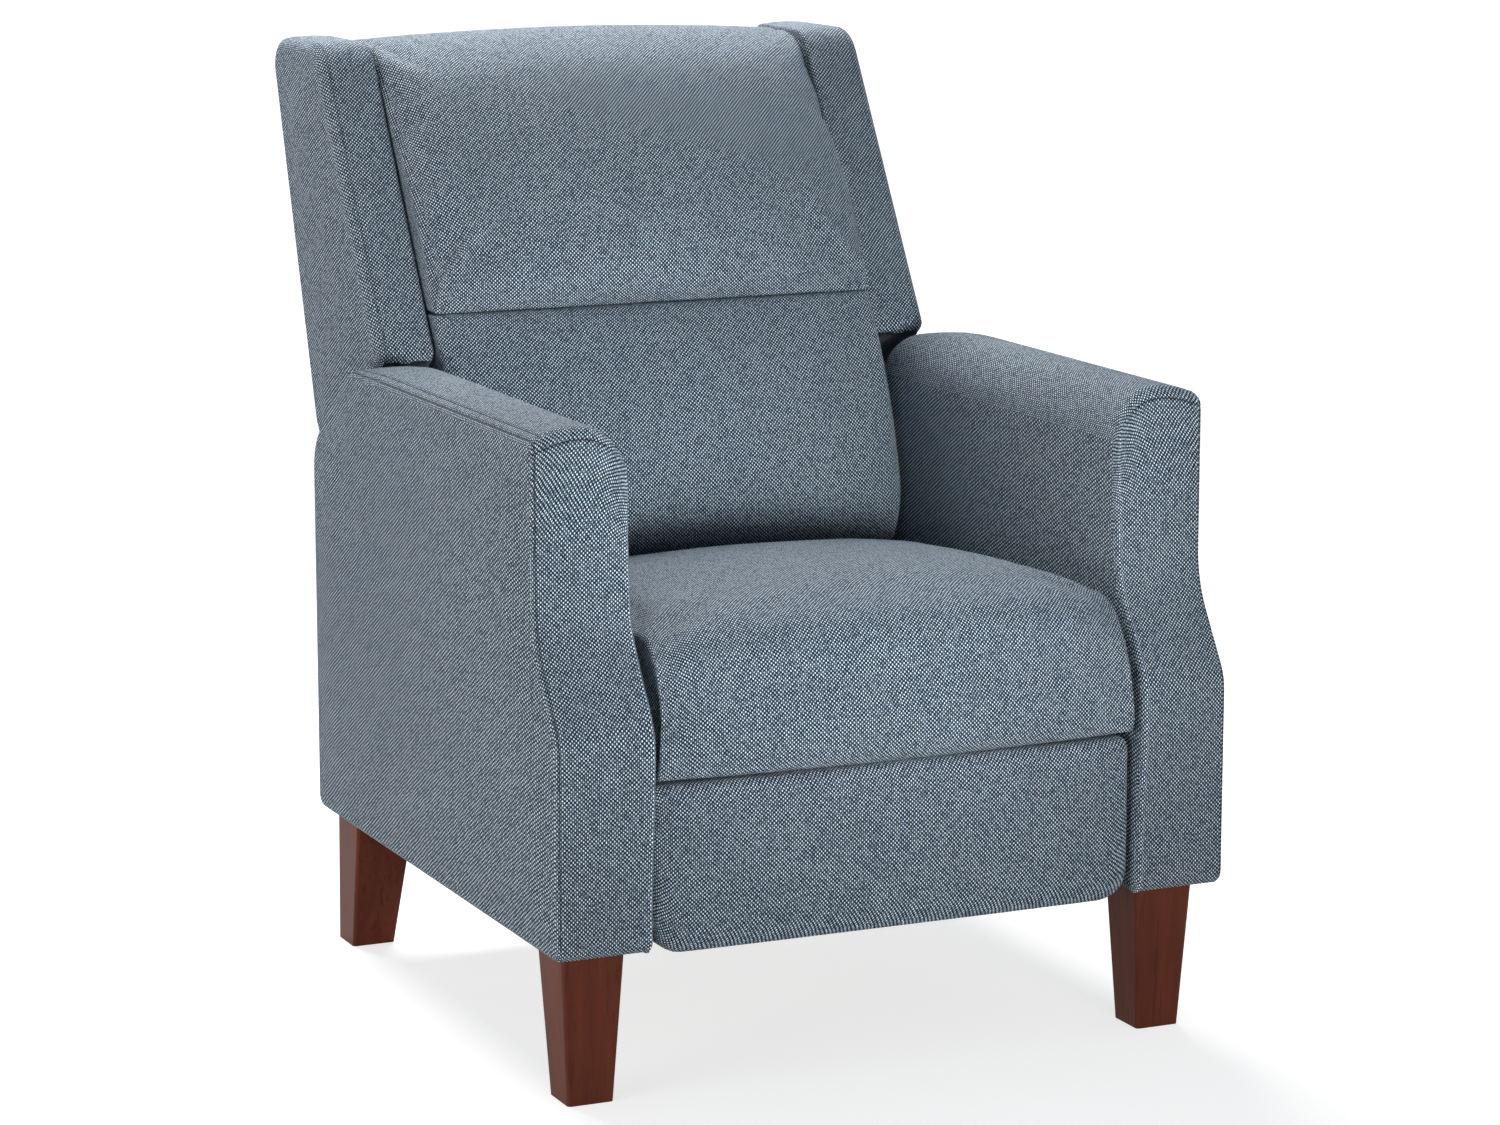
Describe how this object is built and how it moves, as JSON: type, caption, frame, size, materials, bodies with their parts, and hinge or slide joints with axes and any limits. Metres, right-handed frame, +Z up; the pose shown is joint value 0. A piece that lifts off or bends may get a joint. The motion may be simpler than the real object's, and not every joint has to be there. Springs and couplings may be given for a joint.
{
  "type": "recliner armchair",
  "caption": "Upholstered push-back recliner armchair with padded block arms, a winged back, a crowned seat, a fold-out footrest and tapered dark wooden legs.",
  "frame": {"origin": "on the floor, under the middle of the chair's bounding box", "axes": "+Z up, -Y the way the chair faces, +X to the right of someone who faces the chair's front"},
  "size_m": [0.73, 0.9512, 0.9865],
  "materials": {
    "blue_grey_tweed": "coarse matt basket weave of mixed light and navy yarns",
    "dark_stained_wood": "satin dark red-brown stain",
    "frame_timber": "plain sawn timber and plywood",
    "webbing": "woven elastic webbing",
    "dust_cover": "thin non-woven cloth",
    "zinc_fasteners": "zinc-plated steel",
    "black_plastic": "moulded nylon",
    "black_enamel_steel": "black enamelled steel plate"
  },
  "bodies": {
    "base": {"base_screws": "zinc_fasteners", "front_left_leg": "dark_stained_wood", "front_right_leg": "dark_stained_wood", "front_stretcher": "frame_timber", "left_arm_cover": "blue_grey_tweed", "left_arm_frame": "frame_timber", "left_back_guide": "black_enamel_steel", "left_base_plate": "black_enamel_steel", "left_base_rail": "frame_timber", "leg_bolts": "zinc_fasteners", "rear_base_panel": "blue_grey_tweed", "rear_left_leg": "dark_stained_wood", "rear_right_leg": "dark_stained_wood", "rear_stretcher": "frame_timber", "right_arm_cover": "blue_grey_tweed", "right_arm_frame": "frame_timber", "right_back_guide": "black_enamel_steel", "right_base_plate": "black_enamel_steel", "right_base_rail": "frame_timber"},
    "seat": {"back_pivot_bolts": "zinc_fasteners", "back_pivot_washers": "black_plastic", "left_seat_plate": "black_enamel_steel", "right_seat_plate": "black_enamel_steel", "seat_cushion": "blue_grey_tweed", "seat_dust_cover": "dust_cover", "seat_front_rail": "frame_timber", "seat_left_rail": "frame_timber", "seat_rear_rail": "frame_timber", "seat_right_rail": "frame_timber", "seat_rollers": "black_plastic", "seat_screws": "zinc_fasteners", "seat_webbing": "webbing"},
    "back": {"back_guide_pins": "zinc_fasteners", "back_lower_rail": "frame_timber", "back_screws": "zinc_fasteners", "back_top_rail": "frame_timber", "back_webbing": "webbing", "head_cushion": "blue_grey_tweed", "left_back_bracket": "black_enamel_steel", "left_back_post": "frame_timber", "left_wing": "blue_grey_tweed", "lumbar_cushion": "blue_grey_tweed", "outside_back": "blue_grey_tweed", "right_back_bracket": "black_enamel_steel", "right_back_post": "frame_timber", "right_wing": "blue_grey_tweed"},
    "drive_links": {"left_drive_link": "black_enamel_steel", "right_drive_link": "black_enamel_steel", "torque_tube": "black_enamel_steel"},
    "cross_links": {"left_cross_link": "black_enamel_steel", "right_cross_link": "black_enamel_steel"},
    "outer_links": {"left_outer_link": "black_enamel_steel", "right_outer_link": "black_enamel_steel"},
    "footrest": {"footrest_board": "frame_timber", "footrest_pad": "blue_grey_tweed", "footrest_screws": "zinc_fasteners", "left_footrest_bracket": "black_enamel_steel", "right_footrest_bracket": "black_enamel_steel"},
    "push_rods": {"left_push_rod": "black_enamel_steel", "right_push_rod": "black_enamel_steel"}
  },
  "joints": [
    {"name": "seat_slide", "type": "slide", "parent": "base", "child": "seat", "axis": [0, -0.9962, 0.0872], "range_m": [0, 0.0805]},
    {"name": "back_recline", "type": "hinge", "parent": "seat", "child": "back", "pos_m": [0, 0.22637, 0.3], "axis": [-1, 0, 0], "range_deg": [0, 35]},
    {"name": "drive_link_swing", "type": "hinge", "parent": "seat", "child": "drive_links", "pos_m": [0, -0.37335, 0.312], "axis": [-1, 0, 0], "range_deg": [0, 74.2]},
    {"name": "cross_link_swing", "type": "hinge", "parent": "drive_links", "child": "cross_links", "pos_m": [0, -0.37335, 0.2385], "axis": [-1, 0, 0], "range_deg": [-148.4, 0]},
    {"name": "outer_link_swing", "type": "hinge", "parent": "drive_links", "child": "outer_links", "pos_m": [0, -0.37335, 0.165], "axis": [-1, 0, 0], "range_deg": [-148.4, 0]},
    {"name": "footrest_swing", "type": "hinge", "parent": "cross_links", "child": "footrest", "pos_m": [0, -0.38863, 0.31039], "axis": [-1, 0, 0], "range_deg": [0, 148.4]},
    {"name": "push_rod_swing", "type": "hinge", "parent": "drive_links", "child": "push_rods", "pos_m": [0, -0.36534, 0.28287], "axis": [-1, 0, 0], "range_deg": [-75.7, 0]}
  ],
  "couplings": [
    {"joint": "seat_slide", "follows": "back_recline", "m_per_rad": 0.13096},
    {"joint": "drive_link_swing", "follows": "back_recline", "ratio": 2.1143},
    {"joint": "cross_link_swing", "follows": "back_recline", "ratio": -4.2286},
    {"joint": "outer_link_swing", "follows": "back_recline", "ratio": -4.2286},
    {"joint": "footrest_swing", "follows": "back_recline", "ratio": 4.2286},
    {"joint": "push_rod_swing", "follows": "back_recline", "ratio": -2.1555}
  ]
}
